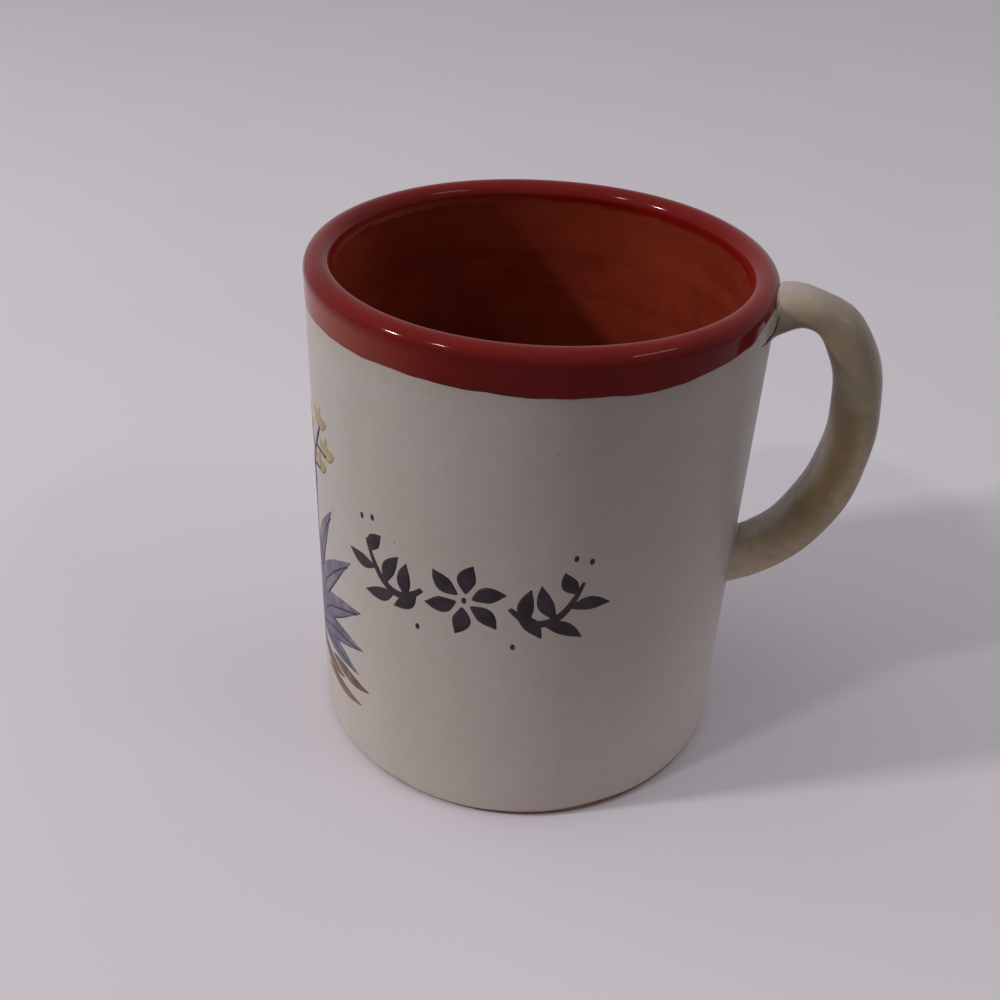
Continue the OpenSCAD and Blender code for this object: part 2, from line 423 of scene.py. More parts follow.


# Handle glaze: grey on the strap's faces, olive on its flanks and darker olive on them round the loop's eye;
# painted light low on the strap and on its inner face, painted shade on its upper flank
FACE_DARK = srgb(150, 138, 129)
FACE_LIGHT = srgb(161, 149, 141)
OLIVE_DARK = srgb(166, 151, 121)
OLIVE_LIGHT = srgb(184, 170, 141)
EYE_OLIVE_DARK = srgb(126, 103, 70)
EYE_OLIVE_LIGHT = srgb(144, 121, 86)
LOW_END_LIGHT = srgb(204, 187, 163)
INNER_LOW_LIGHT = srgb(206, 198, 190)
UPPER_ROOT = srgb(152, 141, 128)
SHOULDER_SHADE = srgb(114, 98, 80)
HANDLE_GRAIN = srgb(136, 119, 96)
HANDLE_PALE = srgb(176, 166, 152)
HANDLE_IRON = srgb(86, 68, 50)
WALL_EDGE = srgb(181, 170, 164)

# Where these tones lie: off the strap's middle plane, round the eye of the loop, in height and in reach
FLANK_WIDTHS = (2.2 * MM, 4.4 * MM)
FLANK_WAVER = 1.6 * MM
LOOP_EYE = (COAT_R, 0, 66 * MM)
LOOP_EYE_PER_M = (50, 0, 35)
EYE_ROUNDS = (0.72, 0.94)
INNER_LIGHT_ROUNDS = (0.74, 0.62)
INNER_LIGHT_HEIGHTS = (80 * MM, 68 * MM)
LOW_END_LIGHT_HEIGHTS = (57 * MM, 43 * MM)
UPPER_ROOT_HEIGHTS = (72 * MM, 82 * MM)
SHOULDER_SHADE_LEAN = 0.9
SHOULDER_SHADE_RISES = (128.5 * MM, 133 * MM)
SHOULDER_SHADE_STARTS = (43 * MM, 50 * MM)
SHOULDER_SHADE_ENDS = (58.5 * MM, 55.5 * MM)
WALL_EDGE_RADII = (COAT_R + 1 * MM, COAT_R + 0.5 * MM)
WALL_EDGE_WAVER = 0.3 * MM
TOP_EDGE_HEIGHTS = (UPPER_POINT.y + 0.6 * MM, UPPER_POINT.y + 2.2 * MM)
TOP_EDGE_SHIFT = 0.65 * MM


def handle_finish():
    f = glazed("handle_glaze", specular=0.14, coat=0.1, coat_rough=0.18)
    clouds = f.noise(95, detail=3)
    drag = f.noise(150, detail=3, at=f.stretched(1, 2.4, 0.5))
    grain = f.noise(520, detail=3, rough=0.6)
    reach = f.axis(0)
    height = f.axis(2)
    side = f.tone.math("ABSOLUTE", f.axis(1)) + (clouds - 0.5) * FLANK_WAVER
    body = clouds.clear(0.34, 0.66).mix(FACE_DARK, FACE_LIGHT)
    olive = drag.clear(0.32, 0.7).mix(OLIVE_DARK, OLIVE_LIGHT)
    browner = drag.clear(0.32, 0.7).mix(EYE_OLIVE_DARK, EYE_OLIVE_LIGHT)
    rounds = f.length(f.vector("MULTIPLY", f.vector("SUBTRACT", f.place, LOOP_EYE), LOOP_EYE_PER_M))
    # Darker, browner olive on the flanks towards the loop's eye
    olive = (rounds + (clouds - 0.5) * 0.3).clear(*EYE_ROUNDS).mix(browner, olive)
    # Painted light: the olive on the strap's lower end is paled towards cream where it lies in shade
    olive = (height.clear(*LOW_END_LIGHT_HEIGHTS) * 0.85).mix(olive, LOW_END_LIGHT)
    # Painted light: the strap's inner face low in the loop, which lies in the mug's shade, is made pale
    inner_low_light = rounds.clear(*INNER_LIGHT_ROUNDS) * height.clear(*INNER_LIGHT_HEIGHTS)
    body = inner_low_light.mix(body, INNER_LOW_LIGHT)
    olive = (height.clear(*UPPER_ROOT_HEIGHTS) * 0.65).mix(olive, UPPER_ROOT)
    body = side.clear(*FLANK_WIDTHS).mix(body, olive)
    # Painted shade: the strap's upper flank, above a slanting edge, is darkened and browned where the left
    # lamp lights it
    shoulder = (height + reach * SHOULDER_SHADE_LEAN).clear(*SHOULDER_SHADE_RISES)
    shoulder = shoulder * reach.clear(*SHOULDER_SHADE_STARTS) * reach.clear(*SHOULDER_SHADE_ENDS)
    body = (shoulder * 0.6).mix(body, SHOULDER_SHADE)
    body = (grain.clear(0.42, 0.75) * 0.35).mix(body, HANDLE_GRAIN)
    pale = f.noise(210, detail=1).clear(0.68, 0.8)
    body = (pale * 0.25).mix(body, HANDLE_PALE)
    on_top = height.clear(*TOP_EDGE_HEIGHTS) * TOP_EDGE_SHIFT
    wall_edge = (f.off_axis() + on_top + clouds * WALL_EDGE_WAVER).clear(*WALL_EDGE_RADII)
    body = wall_edge.mix(body, WALL_EDGE)
    iron = f.dots(300, size=0.08, share=0.12)
    body = (iron * 0.6).mix(body, HANDLE_IRON)
    peel = f.bump(f.noise(700), depth=0.02 * MM)
    peel = f.bump(drag, depth=0.12 * MM, over=peel)
    return f.feed(Base_Color=body, Roughness=grain * 0.18 + 0.3, Normal=peel)


# Bare clay, its grog, and the slip smeared on the strap close to the wall
CLAY_DARK = srgb(106, 68, 54)
CLAY_LIGHT = srgb(134, 90, 72)
GROG_DARK = srgb(92, 50, 34)
GROG_LIGHT = srgb(206, 168, 138)
SLIP_DARK = srgb(166, 144, 137)
SLIP_LIGHT = srgb(188, 167, 160)
SLIP_SMEAR = srgb(178, 157, 150)
SMEAR_W = 3 * MM
SMEAR_WAVER = 0.8 * MM


def clay_finish(name, dark, light, smear=0.0):
    """Bare fired clay, with slip smeared over it close to the wall if asked."""
    f = Finish(name, {"IOR": 1.45})
    grain = f.noise(900, detail=4, rough=0.65)
    clouds = f.noise(60, detail=3)
    body = (grain * 0.6 + clouds * 0.4).clear(0.32, 0.68).mix(dark, light)
    body = (f.dots(420, size=0.14, share=0.12) * 0.6).mix(body, GROG_DARK)
    body = (f.dots(560, size=0.12, share=0.08) * 0.55).mix(body, GROG_LIGHT)
    if smear:
        smeared = (f.off_axis() + clouds * SMEAR_WAVER).clear(COAT_R + smear, COAT_R + smear / 2)
        body = smeared.mix(body, SLIP_SMEAR)
    rough = f.bump(grain, depth=0.08 * MM)
    return f.feed(Base_Color=body, Roughness=grain * 0.15 + 0.72, Normal=rough)


def ink_finish(name, thick, browner):
    """Brushed ink under a thin gloss, from where it pools to where it is washed out."""
    f = glazed(name, specular=0.15, coat=0.06, coat_rough=0.2)
    wash = f.noise(340, detail=4, rough=0.62)
    pools = f.noise(110)
    body = (wash * 0.6 + pools * 0.4).clear(0.36, 0.64).mix(thick, browner)
    return f.feed(Base_Color=body, Roughness=wash * 0.2 + 0.3)


CREAM = cream_finish()
RED = red_finish()
LINING = lining_finish()
HANDLE = handle_finish()
CLAY = clay_finish("bare_clay", CLAY_DARK, CLAY_LIGHT)
STRAP_CLAY = clay_finish("strap_clay", CLAY_DARK, CLAY_LIGHT, SMEAR_W)
SLIP = clay_finish("joining_slip", SLIP_DARK, SLIP_LIGHT)
DARK_INK = ink_finish("dark_ink", srgb(38, 28, 36), srgb(58, 47, 54))
BLUE_INK = ink_finish("blue_grey_ink", srgb(82, 77, 98), srgb(124, 119, 136))
BROWN_INK = ink_finish("brown_ink", srgb(78, 60, 50), srgb(122, 100, 84))
STRAW_INK = ink_finish("straw_ink", srgb(142, 123, 92), srgb(170, 151, 117))


def finish_piece(piece, material, slot, *nodes):
    """Gives a new piece its material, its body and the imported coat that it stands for."""
    piece.data.materials.clear()
    piece.data.materials.append(material)
    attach(piece, "root")
    if nodes:
        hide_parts(*nodes)


def close_mesh(piece):
    """Merges what coincides, drops stray edges and turns every face outwards."""
    bpy.ops.object.select_all(action="DESELECT")
    piece.select_set(True)
    bpy.context.view_layer.objects.active = piece
    bpy.ops.object.mode_set(mode="EDIT")
    bpy.ops.mesh.select_all(action="SELECT")
    bpy.ops.mesh.remove_doubles(threshold=MERGE)
    bpy.ops.mesh.delete_loose(use_verts=True, use_edges=True, use_faces=False)
    bpy.ops.mesh.select_all(action="SELECT")
    bpy.ops.mesh.normals_make_consistent(inside=False)
    bpy.ops.object.mode_set(mode="OBJECT")
    bpy.ops.object.shade_smooth()


def throw_on_wheel(name, section, turns=COAT_TURNS):
    """Spins a closed section of (radius, height) points round the mug's axis."""
    bpy.ops.object.select_all(action="DESELECT")
    bpy.ops.mesh.primitive_circle_add(vertices=len(section), radius=COAT_R)
    piece = bpy.context.object
    piece.name = piece.data.name = name
    for vertex, (radius, height) in zip(piece.data.vertices, section):
        vertex.co = (radius, 0, height)
    bpy.ops.object.mode_set(mode="EDIT")
    bpy.ops.mesh.select_all(action="SELECT")
    bpy.ops.mesh.spin(steps=turns, angle=2 * math.pi, center=(0, 0, 0), axis=(0, 0, 1))
    bpy.ops.object.mode_set(mode="OBJECT")
    close_mesh(piece)
    return piece


def arc(centre_r, centre_z, radius, start, end, steps):
    """Points of a round corner in the half section, from one angle to another, in degrees."""
    angles = [math.radians(start + (end - start) * i / steps) for i in range(steps + 1)]
    return [(centre_r + radius * math.cos(a), centre_z + radius * math.sin(a)) for a in angles]


def upright(radius, bottom, top, steps):
    """Points up or down a straight wall, ends left out."""
    return [(radius, bottom + (top - bottom) * i / steps) for i in range(1, steps)]


def azimuth(point):
    """The angle of a point round the mug, from the handle."""
    return math.atan2(point.y, point.x)


def smooth(value, low, high):
    """0 at low, 1 at high and smooth between."""
    share = min(max((value - low) / (high - low), 0), 1)
    return share * share * (3 - 2 * share)


def waver(angle, waves):
    """Height in millimetres of an uneven edge at an angle round the mug."""
    return sum(height * math.sin(turns * angle + start) for height, turns, start in waves)


def band_edge(angle):
    """Height of the brushed lower edge of the red band, which climbs towards the handle and its joint."""
    away = math.degrees(abs(angle))
    climb = sum(rise * smooth(away, start, end) for rise, start, end in BAND_CLIMBS)
    return min(BAND_Z + (waver(angle, BAND_WAVES) + BAND_LIFT + climb) * MM, LIP_Z - BAND_STOP)


def lip_sag(angle):
    """How far the lip dips and swells as it goes round, from the turning."""
    return (waver(angle, LIP_WAVES) - LIP_SETTLE) * MM


def make_clay_body():
    """The cup's clay: rounded lip, bore with a soft corner, and a turned foot with a hollow."""
    ring_in_r = CLAY_R - FOOT_EDGE_R - FOOT_RING_W
    hollow_r = ring_in_r - HOLLOW_EDGE_R
    corner_r = BORE_R - FLOOR_CORNER_R
    corner_z = FLOOR_UNDER_Z + FLOOR_CORNER_R
    section = arc(CLAY_R - FOOT_EDGE_R, FOOT_EDGE_R, FOOT_EDGE_R, -90, 0, steps=8)
    section += upright(CLAY_R, FOOT_EDGE_R, LIP_Z, steps=12)
    section += arc(LIP_MID_R, LIP_Z, LIP_R, 0, 180, steps=16)
    section += upright(BORE_R, LIP_Z, corner_z, steps=12)
    section += arc(corner_r, corner_z, FLOOR_CORNER_R, 0, -90, steps=10)
    section += [(0, FLOOR_UNDER_Z), (0, FOOT_HOLLOW_H)]
    turned = [hollow_r * i / TURNING_STEPS for i in range(1, TURNING_STEPS)]
    section += [(r, FOOT_HOLLOW_H + TURNING_DEPTH * math.sin(r / MM * TURNING_PER_MM)) for r in turned]
    section += arc(hollow_r, FOOT_HOLLOW_H - HOLLOW_EDGE_R, HOLLOW_EDGE_R, 90, 0, steps=6)
    section += [(ring_in_r, FOOT_CHAMFER), (ring_in_r + FOOT_CHAMFER, 0)]
    finish_piece(throw_on_wheel("clay_body", section), CLAY, "clay", "clay_cup")


def make_cream_coat():
    """The cream glaze of the wall, with a rolled and uneven edge above the bare foot."""
    inner = CLAY_R - SUNK
    outer = COAT_R - SKIMMED
    top = LIP_Z + CREAM_LAP
    fade_z = BARE_Z + FOOT_FADE
    section = [(inner, BARE_Z), (outer - CREAM_ROLL, BARE_Z)]
    section += arc(outer - CREAM_ROLL, BARE_Z + CREAM_ROLL, CREAM_ROLL, -80, 0, steps=5)
    section += upright(outer, BARE_Z + CREAM_ROLL, fade_z, steps=8)
    section += upright(outer, fade_z, top, steps=24)
    section += [(outer, top), (inner, top)]
    piece = throw_on_wheel("cream_coat", section)
    for vertex in piece.data.vertices:
        near = smooth(vertex.co.z, fade_z, BARE_Z)
        vertex.co.z += near * max(waver(azimuth(vertex.co), FOOT_WAVES), FOOT_WAVE_LOW) * MM
    finish_piece(piece, CREAM, "cream_glaze", "cream_glaze")


def make_red_coat():
    """The red glaze: a brushed band, the lip and a short turn into the bore, flush with the lining."""
    skin = LIP_R + RED_T
    section = [(CLAY_R - SUNK, BAND_Z), (BAND_R - RED_ROLL, BAND_Z)]
    section += arc(BAND_R - RED_ROLL, BAND_Z + RED_ROLL, RED_ROLL, -75, 0, steps=5)
    section += upright(BAND_R, BAND_Z + RED_ROLL, LIP_Z, steps=10)
    section += arc(LIP_MID_R, LIP_Z, skin, 0, 90, steps=LIP_STEPS)
    flush_r = BORE_R - LINING_T - RED_PROUD
    over_bore = LIP_MID_R - flush_r
    inner_side = [math.radians(90 + 90 * i / LIP_STEPS) for i in range(1, LIP_STEPS + 1)]
    section += [(LIP_MID_R + over_bore * math.cos(a), LIP_Z + skin * math.sin(a)) for a in inner_side]
    turn_z = TURN_Z - RED_LAP
    section += upright(flush_r, LIP_Z, turn_z, steps=6)
    section += [(flush_r, turn_z + CREASE), (flush_r, turn_z)]
    section += [(BORE_R + SUNK, turn_z), (LIP_MID_R, LIP_Z + LIP_R - RED_CORE)]
    piece = throw_on_wheel("red_coat", section, RED_TURNS)
    for vertex in piece.data.vertices:
        angle = azimuth(vertex.co)
        radius = math.hypot(vertex.co.x, vertex.co.y)
        if radius > LIP_MID_R and vertex.co.z < LIP_Z:
            vertex.co.z = LIP_Z - (LIP_Z - vertex.co.z) * (LIP_Z - band_edge(angle)) / (LIP_Z - BAND_Z)
        vertex.co.z += lip_sag(angle) * smooth(vertex.co.z, LIP_Z - LIP_FADE, LIP_TOP)
    finish_piece(piece, RED, "red_glaze", "red_glaze")


def make_lining_coat():
    """The clear glaze inside, from under the red turn down over the floor."""
    inside_r = BORE_R - LINING_T
    floor_z = FLOOR_UNDER_Z + LINING_T
    corner = FLOOR_CORNER_R - LINING_T
    under_r = BORE_R - FLOOR_CORNER_R
    top = TURN_Z + LINING_LAP
    section = [(0, FLOOR_UNDER_Z - SUNK), (under_r, FLOOR_UNDER_Z - SUNK)]
    section += arc(under_r, FLOOR_UNDER_Z + FLOOR_CORNER_R, FLOOR_CORNER_R + SUNK, -80, 0, steps=10)
    section += [(BORE_R + SUNK, top), (inside_r, top), (inside_r, top - 2 * CREASE)]
    section += upright(inside_r, top, floor_z + FLOOR_CORNER_R, steps=30)
    section += arc(inside_r - corner, floor_z + corner, corner, 0, -90, steps=14)
    inwards = [1 - i / FLOOR_STEPS for i in range(1, FLOOR_STEPS + 1)]
    section += [((inside_r - corner) * share, floor_z) for share in inwards]
    finish_piece(throw_on_wheel("lining_coat", section), LINING, "lining_glaze", "lining_glaze")


def mix3(t, a, b, c):
    """A point at a share of the curve that three points pull."""
    return (1 - t) ** 2 * a + 2 * (1 - t) * t * b + t * t * c


def strap_centre(t):
    """Reach and height of the strap's middle line, at a share of it from the upper joint."""
    near = mix3(t, UPPER_POINT, UPPER_ARM, LOWER_ARM)
    far = mix3(t, UPPER_ARM, LOWER_ARM, LOWER_POINT)
    return (1 - t) * near + t * far


def fade(t, run):
    """1 at an end of the strap, and down to 0 over a share of it."""
    return max(0, 1 - t / run) ** 2


def strap_outward(t):
    """The lean of the strap's section: square across the strap, but in the wall's plane at the joints."""
    way = mix3(t, UPPER_ARM - UPPER_POINT, LOWER_ARM - UPPER_ARM, LOWER_POINT - LOWER_ARM)
    turn = math.atan2(way.y, way.x) + math.pi / 2
    return turn - UPPER_ANGLE * fade(t, LEAN_SHARE) - LOWER_ANGLE * fade(1 - t, LEAN_SHARE)


def strap_table(t):
    """Thickness of the strap in millimetres, straight between the listed ones."""
    for (t0, v0), (t1, v1) in zip(STRAP_T, STRAP_T[1:]):
        if t <= t1:
            return v0 + (v1 - v0) * max(t - t0, 0) / (t1 - t0)
    return STRAP_T[-1][1]


def strap_thickness(t):
    """Thickness of the strap, with the corners of its table blended."""
    return sum(strap_table(t + d) for d in (-BLEND_SHARE, 0, BLEND_SHARE)) / 3 * MM


def strap_width(t):
    """Width of the strap, which flares into both joints."""
    return STRAP_W + 2 * STRAP_FLARE * (fade(t, FLARE_SHARE) + fade(1 - t, FLARE_SHARE))


def squared(v):
    """A sine or cosine pushed outwards, for a section between an oval and a box."""
    return math.copysign(abs(v) ** (2 / STRAP_POWER), v)


def strap_point(t, turn, skin=0.0):
    """A point of the strap's surface, or a skin outside it. Past its ends it runs straight into the wall."""
    held = min(max(t, 0), 1)
    sunk = (max(-t, 0) + max(t - 1, 0)) * RUN_IN
    centre, lean = strap_centre(held), strap_outward(held)
    up = (strap_thickness(held) / 2 + skin) * squared(math.sin(turn))
    across = (strap_width(held) / 2 + skin) * squared(math.cos(turn))
    return Vector((centre.x - sunk + up * math.cos(lean), across, centre.y + up * math.sin(lean)))


def off_wall(point):
    """How far a point stands off the coated wall or lip."""
    radius = math.hypot(point.x, point.y)
    if point.z <= LIP_Z:
        return radius - COAT_R
    return math.hypot(radius - LIP_MID_R, point.z - LIP_Z) - (COAT_R - LIP_MID_R)


def strap_at_reach(end, turn, reach, skin):
    """The strap's point at a distance off the wall, near its upper end (0) or lower end (1)."""
    inner, outer = END_SHARES[end]
    for _ in range(HALVINGS):
        middle = (inner + outer) / 2
        if off_wall(strap_point(middle, turn, skin)) < reach:
            inner = middle
        else:
            outer = middle
    return (inner + outer) / 2, strap_point((inner + outer) / 2, turn, skin)


def roll_sheet(name, rows):
    """Rolls a flat grid into a tube through rows of points, closed round and at its ends."""
    bpy.ops.object.select_all(action="DESELECT")
    across, along = len(rows[0]), len(rows)
    bpy.ops.mesh.primitive_grid_add(x_subdivisions=across, y_subdivisions=along - 1, size=STRAP_W)
    piece = bpy.context.object
    piece.name = piece.data.name = name
    points = [p for row in rows for p in row + row[:1]]
    for vertex, point in zip(piece.data.vertices, points):
        vertex.co = point
    bpy.ops.object.mode_set(mode="EDIT")
    bpy.ops.mesh.select_all(action="SELECT")
    bpy.ops.mesh.remove_doubles(threshold=MERGE)
    bpy.ops.mesh.select_all(action="DESELECT")
    bpy.ops.mesh.select_mode(type="EDGE")
    bpy.ops.mesh.select_non_manifold(extend=False)
    bpy.ops.mesh.fill_holes(sides=0)
    bpy.ops.object.mode_set(mode="OBJECT")
    close_mesh(piece)
    return piece


def corner_point(end, turn, reach):
    """A point of the soft corner at a joint. Under the lip its fillet gives way to a groove."""
    full = JOINT_FILLETS[end]
    open_share = min(max(1 - reach / full, 0), 1)
    fillet = full * (1 - math.sqrt(1 - open_share ** 2))
    tuck = smooth(math.sin(turn), *TUCK_SINES) if end == 0 else 0
    skin = fillet * (1 - tuck) - LIP_TUCK * tuck * smooth(reach, TUCK_RUN, 0)
    return strap_at_reach(end, turn, reach, skin)


def joint_rows(end):
    """Rings of a joint's soft corner, from the wall outwards, and where on the strap each ray leaves it."""
    bends = [math.pi / 2 * i / FILLET_STEPS for i in range(FILLET_STEPS + 1)]
    reaches = [-JOINT_DEPTH] + [JOINT_FILLETS[end] * (1 - math.cos(b)) - JOINT_SINK for b in bends]
    found = [[corner_point(end, turn, reach) for turn in STRAP_TURNS] for reach in reaches]
    return [[point for _, point in row] for row in found], [t for t, _ in found[-1]]


def strap_skin(t, turn, share):
    """How far the glaze stands off the pulled strap: lumps away from the joints, and a fuller shoulder."""
    lump = (
        0.10 * math.sin(9 * t + 1.5 * math.cos(turn))
        + 0.07 * math.sin(23 * t + 2 * turn)
        + 0.05 * math.sin(41 * t - turn)
    )
    calm = smooth(share, 0, CALM_SHARE) * smooth(share, 1, 1 - CALM_SHARE)
    shoulder = SHOULDER_RISE * smooth(t, *SHOULDER_START_SHARES) * smooth(t, *SHOULDER_END_SHARES)
    shoulder *= max(math.sin(turn), 0)
    return ((lump - LUMP_SETBACK) * calm + shoulder) * MM


def make_handle_coat():
    """The glaze of the handle, from the soft corner at its upper joint to the one at its lower joint."""
    upper, start = joint_rows(0)
    lower, stop = joint_rows(1)
    middle = []
    for i in range(1, STRAP_STATIONS):
        share = i / STRAP_STATIONS
        row = []
        for turn, t0, t1 in zip(STRAP_TURNS, start, stop):
            t = t0 + (t1 - t0) * share
            row.append(strap_point(t, turn, strap_skin(t, turn, share)))
        middle.append(row)
    piece = roll_sheet("handle_coat", upper + middle + lower[::-1])
    finish_piece(piece, HANDLE, "handle_glaze", "handle_glaze")


# Brush strokes: the radius that a half width of 1 stands for, and the steps round and along them
STROKE_UNIT = 1 * MM
STROKE_ROUND_STEPS = 2
STROKE_LONG_STEPS = 6


def draw_strokes(name, strokes):
    """Draws strokes of (place, half width in millimetres) points as round lines and gives their mesh."""
    bpy.ops.object.select_all(action="DESELECT")
    bpy.ops.curve.primitive_nurbs_path_add(radius=COAT_R)
    drawing = bpy.context.object
    drawing.name = name
    curve = drawing.data
    curve.splines.clear()
    curve.dimensions = "3D"
    curve.twist_mode = "Z_UP"
    curve.bevel_depth = STROKE_UNIT
    curve.bevel_resolution = STROKE_ROUND_STEPS
    curve.resolution_u = STROKE_LONG_STEPS
    curve.use_fill_caps = True
    for stroke in strokes:
        spline = curve.splines.new("NURBS")
        spline.points.add(len(stroke) - 1)
        for point, (place, half) in zip(spline.points, stroke):
            point.co = (*place, 1)
            point.radius = half
        spline.order_u = 3
        spline.use_endpoint_u = True
    bpy.ops.object.convert(target="MESH")
    drawing = bpy.context.object
    drawing.data.name = name
    return drawing


def make_joint_hairline():
    """The fine crack where the upper joint's soft corner parts from the wall, on the front side."""
    line = [corner_point(0, math.radians(turn), reach * MM)[1] for turn, reach in HAIRLINE_CORNER]
    for degrees, height in HAIRLINE_WALL:
        angle = math.radians(degrees)
        line.append(Vector((COAT_R * math.cos(angle), COAT_R * math.sin(angle), height * MM)))
    piece = draw_strokes("joint_hairline", [list(zip(line, HAIRLINE_HALVES))])
    close_mesh(piece)
    finish_piece(piece, DARK_INK, "slip")


# Ink on the wall: how much a round stroke is flattened, and how far it sinks in
INK_FLATTENED = 0.2
INK_SUNK = 0.04 * MM

# A brushed leaf: shares of its length, of its half width, and how far it bows aside as a share of its length
LEAF_SHARES = (
    (0, 0.12, 0), (0.2, 0.62, 0.04), (0.45, 1, 0.08), (0.72, 0.72, 0.04), (0.9, 0.28, 0), (1, 0.04, -0.03),
)
DOT_SHARE = 0.4


def lay_on_wall(along, up, height, middle_angle):
    """A point of the unrolled wall, laid round the mug."""
    angle = middle_angle + along / COAT_R
    radius = COAT_R - SKIMMED + height
    return Vector((radius * math.cos(angle), radius * math.sin(angle), up))


def brush(name, strokes, middle_angle, ink_t, material):
    """Draws strokes of (along, up, half width) points in millimetres and lays them flat round the wall."""
    drawn = [[((along * MM, up * MM, 0), half) for along, up, half in stroke] for stroke in strokes]
    drawing = draw_strokes(name, drawn)
    for vertex in drawing.data.vertices:
        lift = min(max(vertex.co.z * INK_FLATTENED, -INK_SUNK), ink_t)
        vertex.co = lay_on_wall(vertex.co.x, vertex.co.y, lift, middle_angle)
    close_mesh(drawing)
    finish_piece(drawing, material, "brush_ink")


def leaf(along, up, way, length, half):
    """One brushed leaf from its stalk end, as stroke points."""
    c, s = math.cos(math.radians(way)), math.sin(math.radians(way))
    return [
        (along + length * (share * c - bow * s), up + length * (share * s + bow * c), half * width)
        for share, width, bow in LEAF_SHARES
    ]


def stem_point(stem, share):
    """A point at a share along a stem."""
    place = share * (len(stem) - 1)
    i = min(int(place), len(stem) - 2)
    rest = place - i
    return tuple(a + (b - a) * rest for a, b in zip(stem[i], stem[i + 1]))


def dot(along, up, half):
    """A dot of ink, as a short fat stroke."""
    end = DOT_SHARE * half
    return [(along - end, up, end), (along, up, half), (along + end, up, end)]


# The spray, in millimetres on the unrolled wall: the blossom's height and petals, then one sprig of the two
SPRAY_ANGLE = math.radians(-90)
SPRAY_INK_T = 0.045 * MM
BLOSSOM_UP = 49.5
BLOSSOM_EYE = 0.95
PETAL_START = 1.5
PETAL_LENGTH = 5.9
PETAL_HALF = 1.75
PETAL_WAYS = (20, 80, 140, 200, 260, 320)
SPRIG_STEM = (
    (7.6, 49.2, 0.45), (10.4, 46.2, 0.75), (14.4, 46.4, 0.75), (17.8, 50, 0.6), (19.4, 54.6, 0.3),
)
SPRIG_DOTS = ((20.4, 58.6), (17.8, 59.4), (8.4, 41.2))
SPRIG_DOT_HALF = 0.9
SPRIG_LEAF_HALF = 1.5
SPRIG_LEAN = 12
SPRIG_TURN = 40

# Leaves of a sprig: share along its stem, lean to it in degrees, and length
SPRIG_LEAVES = (
    (0.1, -62, 6.4), (0.26, 66, 7.2), (0.42, -52, 7.4), (0.56, 78, 7.4), (0.72, -36, 6.8), (0.88, 74, 5),
)


def make_leaf_spray():
    """A blossom between two leafy sprigs, across the front of the wall."""
    strokes = []
    for way in PETAL_WAYS:
        c, s = math.cos(math.radians(way)), math.sin(math.radians(way))
        strokes.append(leaf(PETAL_START * c, BLOSSOM_UP + PETAL_START * s, way, PETAL_LENGTH, PETAL_HALF))
    strokes.append(dot(0, BLOSSOM_UP, BLOSSOM_EYE))
    for side in (1, -1):
        stem = [(side * along, up, half) for along, up, half in SPRIG_STEM]
        strokes.append(stem)
        for share, lean, length in SPRIG_LEAVES:
            along, up, _ = stem_point(stem, share)
            way = lean + SPRIG_LEAN + SPRIG_TURN * share
            strokes.append(leaf(along, up, way if side == 1 else 180 - way, length, SPRIG_LEAF_HALF))
        strokes += [dot(side * along, up, SPRIG_DOT_HALF) for along, up in SPRIG_DOTS]
    brush("leaf_spray", strokes, SPRAY_ANGLE, SPRAY_INK_T, DARK_INK)


# The agave, in millimetres on the unrolled wall: heart leaf, then each blade's way, length and half width
AGAVE_ANGLE = math.radians(-155)
AGAVE_HEART = (0, 17, 90, 9, 3.6)
AGAVE_FAN = (
    (168, 19, 2.5), (150, 24, 2.8), (133, 29, 3), (116, 33, 3), (100, 35, 3), (84, 35, 3),
    (69, 34, 3), (54, 31, 3), (38, 26, 2.9), (21, 22, 2.6), (5, 19, 2.3),
)
FAN_UP = 20
FAN_SPREAD = (3.2, 2)
RIB_SHARE = 0.94
RIB_HALF = 0.26

# Its stalk, then the share along it where each twig leaves and where the twig's blossom sits
AGAVE_STALK = ((1, 50, 0.8), (3, 56, 0.7), (6, 62, 0.6), (9.5, 67, 0.45))
AGAVE_TWIGS = ((0.3, -4, 58.6), (0.42, 9.4, 59.4), (0.62, 1, 64.2), (0.74, 13.2, 63.6), (1, 10.4, 68.4))
TWIG_HALVES = (0.4, 0.3)
BUD_WAYS = (38, 88, 138)
BUD_DROP = 0.6
BUD_LENGTH = 4.6
BUD_HALF = 1.2

# Strokes of the broken ground below it: middle, height, run and half width of each
AGAVE_GROUND = (
    (-20, 18.4, 11, 1.1), (-11, 16.2, 15, 1.4), (-2, 18.2, 16, 1.6), (9, 16.2, 15, 1.6),
    (18, 18.4, 14, 1.4), (-6, 13.6, 18, 1), (15, 13.6, 15, 1.2),
)

# What these strokes have in common: shares of the run, rises, and half widths at the tips
GROUND_SHARES = (-0.5, -0.2, 0.2, 0.5)
GROUND_RISES = (0, 0.4, -0.2, 0.3)
GROUND_TIPS = (0.2, 0.15)

# Thickness of the agave's inks, so that lines lie on blossoms, blossoms on blades and blades on the ground
LINE_INK_T = 0.045 * MM
BUD_INK_T = 0.035 * MM
BLADE_INK_T = 0.03 * MM
GROUND_INK_T = 0.025 * MM


def ground_stroke(along, up, run, half):
    """One long stroke of ground, thin at both ends."""
    halves = (GROUND_TIPS[0], half, half, GROUND_TIPS[1])
    shape = zip(GROUND_SHARES, GROUND_RISES, halves)
    return [(along + run * share, up + rise, wide) for share, rise, wide in shape]


